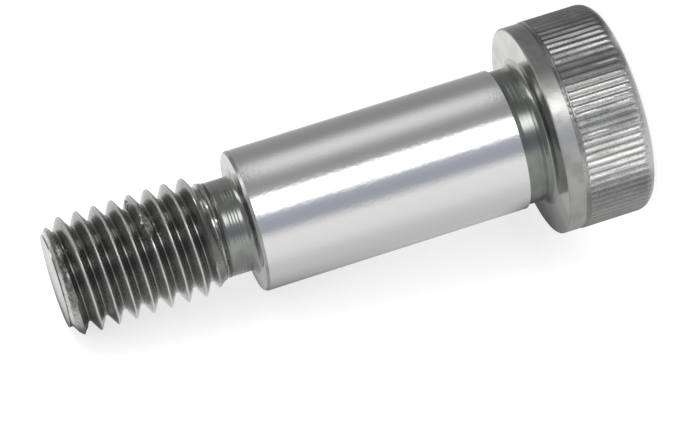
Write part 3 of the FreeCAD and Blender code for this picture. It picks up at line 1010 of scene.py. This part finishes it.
def tent_light():
    """The tent's light: panels near the horizon, the room and the table beyond, and two lamps."""
    material, tree = bare_material("tent_panels")
    place = add(tree, "TexCoord", {}).outputs["Object"]
    flat, height = radius_and_height(place)
    leftward, backward = (joined(coordinate(place, axis), -1.0) for axis in "XY")
    around = joined(joined(leftward, backward, "ARCTAN2"), 180 / math.pi)
    lift = joined(joined(joined(height, -TENT_MIDDLE, "ADD"), flat, "ARCTAN2"), 180 / math.pi)
    panels = panel_light(joined(joined(around, 1 / 360), 0.5, "ADD"))
    # The table fills every direction that leads away from the side the photographer stood on.
    away = add(tree, "VectorMath", {0: place, 1: (-toward / TENT_RADIUS).tolist()},
               operation="DOT_PRODUCT")
    table_share = between(away.outputs["Value"], -0.03, 0.05)
    whole = mixed(between(lift, 1, 5), panels, mixed(table_share, ROOM_HIGH, TABLE))
    whole = mixed(between(lift, -48, -38), mixed(table_share, ROOM_LOW, TABLE), whole)
    whole = mixed(between(lift, 82, 87), whole, CEILING)
    for light, round_it, up_it in LAMPS:
        whole = mixed(joined(window(around, *round_it), window(lift, *up_it)), whole, light)
    glow = add(tree, "Emission", {"Color": whole}).outputs["Emission"]
    add(tree, "OutputMaterial", {"Surface": glow})
    return material


tent_turn = np.linspace(0, 2 * np.pi, 97)
tent_lift = np.radians(np.linspace(-89.9, 89.9, 61))[:, None]
tent_rows = in_space(TENT_RADIUS * np.cos(tent_lift) + 0 * tent_turn,
                     TENT_MIDDLE + TENT_RADIUS * np.sin(tent_lift) + 0 * tent_turn, tent_turn)
seen_by(staged("light_tent", tent_rows, tent_light()), "glossy")
print(f"tent: {TENT_RADIUS * 1000:.0f} mm to each side")

# %% [markdown]
# Two things in the photograph stand so close that only a part of the bolt mirrors them. A pale
# card lights the upper side of the shoulder, and not the head or the neck. Its place is found by
# following the camera's rays off the shoulder. And the table is dark where the bolt nearly touches
# it. Both are sheets with a share worked out at each point, clear where the share is none.

# %% A card that the shoulder mirrors
def card(name, rows, shares, light):
    """A sheet seen in the metal, as bright as its light where its share is one."""
    material, tree = bare_material(name)
    share = add(tree, "Attribute", {}, attribute_name="share").outputs["Fac"]
    clear = add(tree, "BsdfTransparent", {}).outputs["BSDF"]
    glow = add(tree, "Emission", {"Strength": light}).outputs["Emission"]
    add(tree, "OutputMaterial", {"Surface": either(share, clear, glow)})
    item = staged(name, rows, material)
    attribute = item.data.attributes.new("share", "FLOAT", "POINT")
    attribute.data.foreach_set("value", np.asarray(shares, np.float32).ravel())
    seen_by(item, "glossy")


CARD_DISTANCE = 0.042
CARD_LIGHT = 1.05
card_down = np.linspace(-56, -22, 35)[:, None]
card_height = np.linspace(RELIEF_END, SHOULDER_END - 0.2, 12)
outwards = in_space(1, 0 * card_down, facing(card_down))
from_shoulder = (outwards * SHOULDER_RADIUS + vertical * card_height[:, None]) * MM
ray = from_shoulder - CAMERA_PLACE
ray = ray - 2 * (ray * outwards).sum(-1, keepdims=True) * outwards
reach = (CARD_DISTANCE - from_shoulder[..., :1]) / ray[..., :1]
card_share = np.interp(card_down, [-54, -50, -46, -42, -38, -34, -30, -26, -23],
                       [0, 0.1, 0.48, 0.88, 1, 0.85, 0.42, 0.12, 0])
card("shoulder_card", from_shoulder + reach * ray, card_share + 0 * card_height, CARD_LIGHT)
print(f"card {CARD_DISTANCE * 1000:.0f} mm away")

# %% The shade where the bolt nearly touches the table
SHADE_BROAD, SHADE_BROAD_SHARE = 0.013, 0.39
SHADE_NARROW, SHADE_NARROW_SHARE = 0.0062, 0.52
SHADE_LIGHT = 0.02
SHADE_LIFT = 0.0001
CORNER_REACH = 2.2
GAP_REACH = 1.2
# The bolt's half width above the sheet, by height, in millimetres.
OUTLINE = ((-3, 0), (0, HEAD_RADIUS), (BEARING_FACE, HEAD_RADIUS),
           (BEARING_FACE + 0.5, SHOULDER_RADIUS), (SHOULDER_END, SHOULDER_RADIUS),
           (SHOULDER_END + 0.5, CREST_RADIUS), (TIP, CREST_RADIUS), (TIP + 3, 0))
shade_rise = np.linspace(-0.02, 0.06, 161)[:, None]
shade_across = np.linspace(-0.04, 0.04, 81)
shade_rows = (touch + toward * SHADE_LIFT + up_sheet * shade_rise[..., None]
              + across * shade_across[:, None])
shade_height = shade_rows[..., 2] / MM
half_width = np.interp(shade_height, *np.array(OUTLINE).T)
gap = np.maximum(-(shade_rows @ toward) / MM - half_width, 0)
past_face = (shade_height - BEARING_FACE) / CORNER_REACH
near = np.maximum(np.exp(-(gap / GAP_REACH) ** 2), np.exp(-past_face ** 2) * (past_face > 0))
# Only the last turns of the thread lie on the table: it is lighter under the others.
touching = np.interp(shade_height, [SHOULDER_END + 2, SHOULDER_END + 3.5, 45.2, 46.2],
                     [1, 0.2, 0.2, 1])
touching = touching * np.clip(half_width / CREST_RADIUS, 0, 1)
shade_share = touching * (SHADE_BROAD_SHARE * np.exp(-(shade_across / SHADE_BROAD) ** 2)
                          + SHADE_NARROW_SHARE * near * np.exp(-(shade_across / SHADE_NARROW) ** 4))
card("contact_shade", shade_rows, shade_share, SHADE_LIGHT)
print(f"shade up to {shade_share.max():.2f}")

# %% World and lamp
AIR_LIGHT = 1.75
LAMP_PLACE = Vector((0.36, -0.22, 0.11))
LAMP_SIZE = 0.2
LAMP_WATTS = 0.7
world = bpy.data.worlds.new("studio_air")
bpy.context.scene.world = world
world.use_nodes = True
background = world.node_tree.nodes["Background"]
background.inputs["Color"].default_value = colour(1)
level = joined(joined(seen_directly(world.node_tree), 1.0 - AIR_LIGHT), AIR_LIGHT, "ADD")
feed(background, "Strength", level)

lamp = bpy.data.objects.new("soft_box", bpy.data.lights.new("soft_box", "AREA"))
bpy.context.collection.objects.link(lamp)
lamp.data.shape = "SQUARE"
lamp.data.size = LAMP_SIZE
lamp.data.energy = LAMP_WATTS
lamp.visible_glossy = False
aim = (-LAMP_PLACE).to_track_quat("-Z", "Y").to_matrix().to_4x4()
lamp.matrix_world = Matrix.Translation(LAMP_PLACE) @ aim
print(f"lamp {LAMP_PLACE.length * 1000:.0f} mm away")
